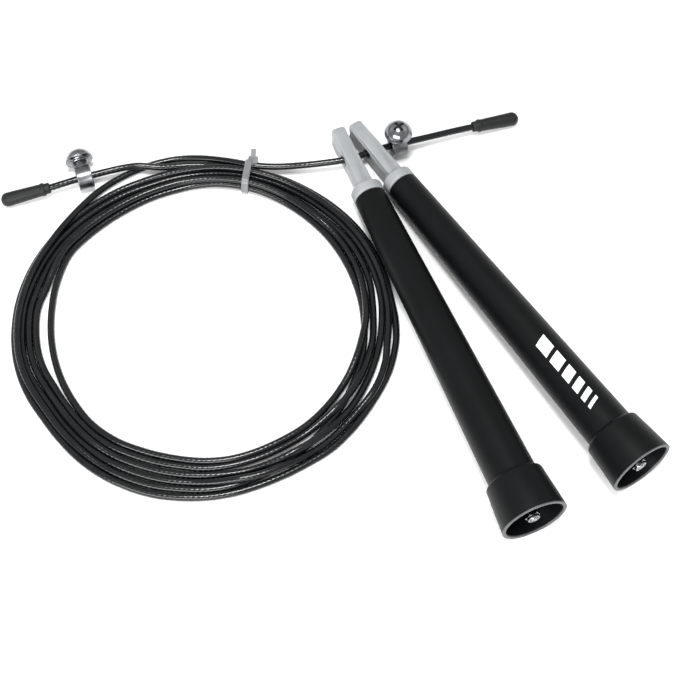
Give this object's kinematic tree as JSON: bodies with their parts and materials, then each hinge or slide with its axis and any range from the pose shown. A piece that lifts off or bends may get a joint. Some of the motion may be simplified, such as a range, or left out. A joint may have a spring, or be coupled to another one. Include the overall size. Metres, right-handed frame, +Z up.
{
  "type": "jump rope",
  "caption": "Cable speed rope coiled and tied beside its two tapered handles, with swivel heads, cable clamps and end caps.",
  "frame": {"origin": "on the floor, below the middle of the two handles' bounding box", "axes": "+Z up from the floor; +Y from the handles' butts towards their swivel heads; +X to the right of the coil, towards the handles"},
  "size_m": [0.2718, 0.1997, 0.0268],
  "materials": {
    "cable": "glossy black plastic coating over twisted wire",
    "rubber": "matt dark rubber",
    "tie_nylon": "milky nylon",
    "head_nylon": "satin white nylon",
    "plated_steel": "bright zinc or nickel plating",
    "grip_plastic": "fine-textured matt black",
    "bush_plastic": "moulded dark plastic"
  },
  "bodies": {
    "rope": {"cable_coil": "cable", "cable_lead_a": "cable", "cable_lead_b": "cable", "end_cap_a": "rubber", "end_cap_b": "rubber", "cable_tie": "tie_nylon"},
    "swivel_left": {"head_left": "head_nylon", "axle_left": "plated_steel", "washer_left": "plated_steel", "lock_nut_left": "plated_steel"},
    "grip_left": {"grip_left": "grip_plastic", "upper_bush_left": "bush_plastic", "lower_bush_left": "bush_plastic"},
    "swivel_right": {"head_right": "head_nylon", "axle_right": "plated_steel", "washer_right": "plated_steel", "lock_nut_right": "plated_steel"},
    "grip_right": {"grip_right": "grip_plastic", "upper_bush_right": "bush_plastic", "lower_bush_right": "bush_plastic"},
    "clamp_collar_a": {"clamp_collar_a": "plated_steel"},
    "clamp_screw_a": {"clamp_screw_a": "plated_steel"},
    "clamp_collar_b": {"clamp_collar_b": "plated_steel"},
    "clamp_screw_b": {"clamp_screw_b": "plated_steel"}
  },
  "joints": [
    {"name": "left_fold", "type": "hinge", "parent": "rope", "child": "swivel_left", "pos_m": [-0.05722, 0.07805, 0.00627], "axis": [-0.9259, -0.3778, 0], "range_deg": [0, 90]},
    {"name": "right_fold", "type": "hinge", "parent": "rope", "child": "swivel_right", "pos_m": [-0.04731, 0.08209, 0.00627], "axis": [-0.9259, -0.3778, 0], "range_deg": [0, 90]},
    {"name": "left_spin", "type": "hinge", "parent": "swivel_left", "child": "grip_left", "pos_m": [-0.01946, -0.01447, 0.01018], "axis": [0.3776, -0.9252, 0.0391], "continuous": true},
    {"name": "right_spin", "type": "hinge", "parent": "swivel_right", "child": "grip_right", "pos_m": [0.00827, -0.00094, 0.01018], "axis": [0.5559, -0.8303, 0.0391], "continuous": true},
    {"name": "clamp_a_slide", "type": "slide", "parent": "rope", "child": "clamp_collar_a", "axis": [0.9563, 0.2924, 0], "range_m": [0, 0.024]},
    {"name": "clamp_a_screw", "type": "hinge", "parent": "clamp_collar_a", "child": "clamp_screw_a", "pos_m": [-0.0366, 0.0858, 0.0061], "axis": [0, 0, 1], "range_deg": [-360, 360]},
    {"name": "clamp_b_slide", "type": "slide", "parent": "rope", "child": "clamp_collar_b", "axis": [-0.9455, -0.3256, 0], "range_m": [0, 0.008]},
    {"name": "clamp_b_screw", "type": "hinge", "parent": "clamp_collar_b", "child": "clamp_screw_b", "pos_m": [-0.1715, 0.0691, 0.0054], "axis": [-0.3224, 0.9363, 0.1392], "range_deg": [-360, 360]}
  ]
}
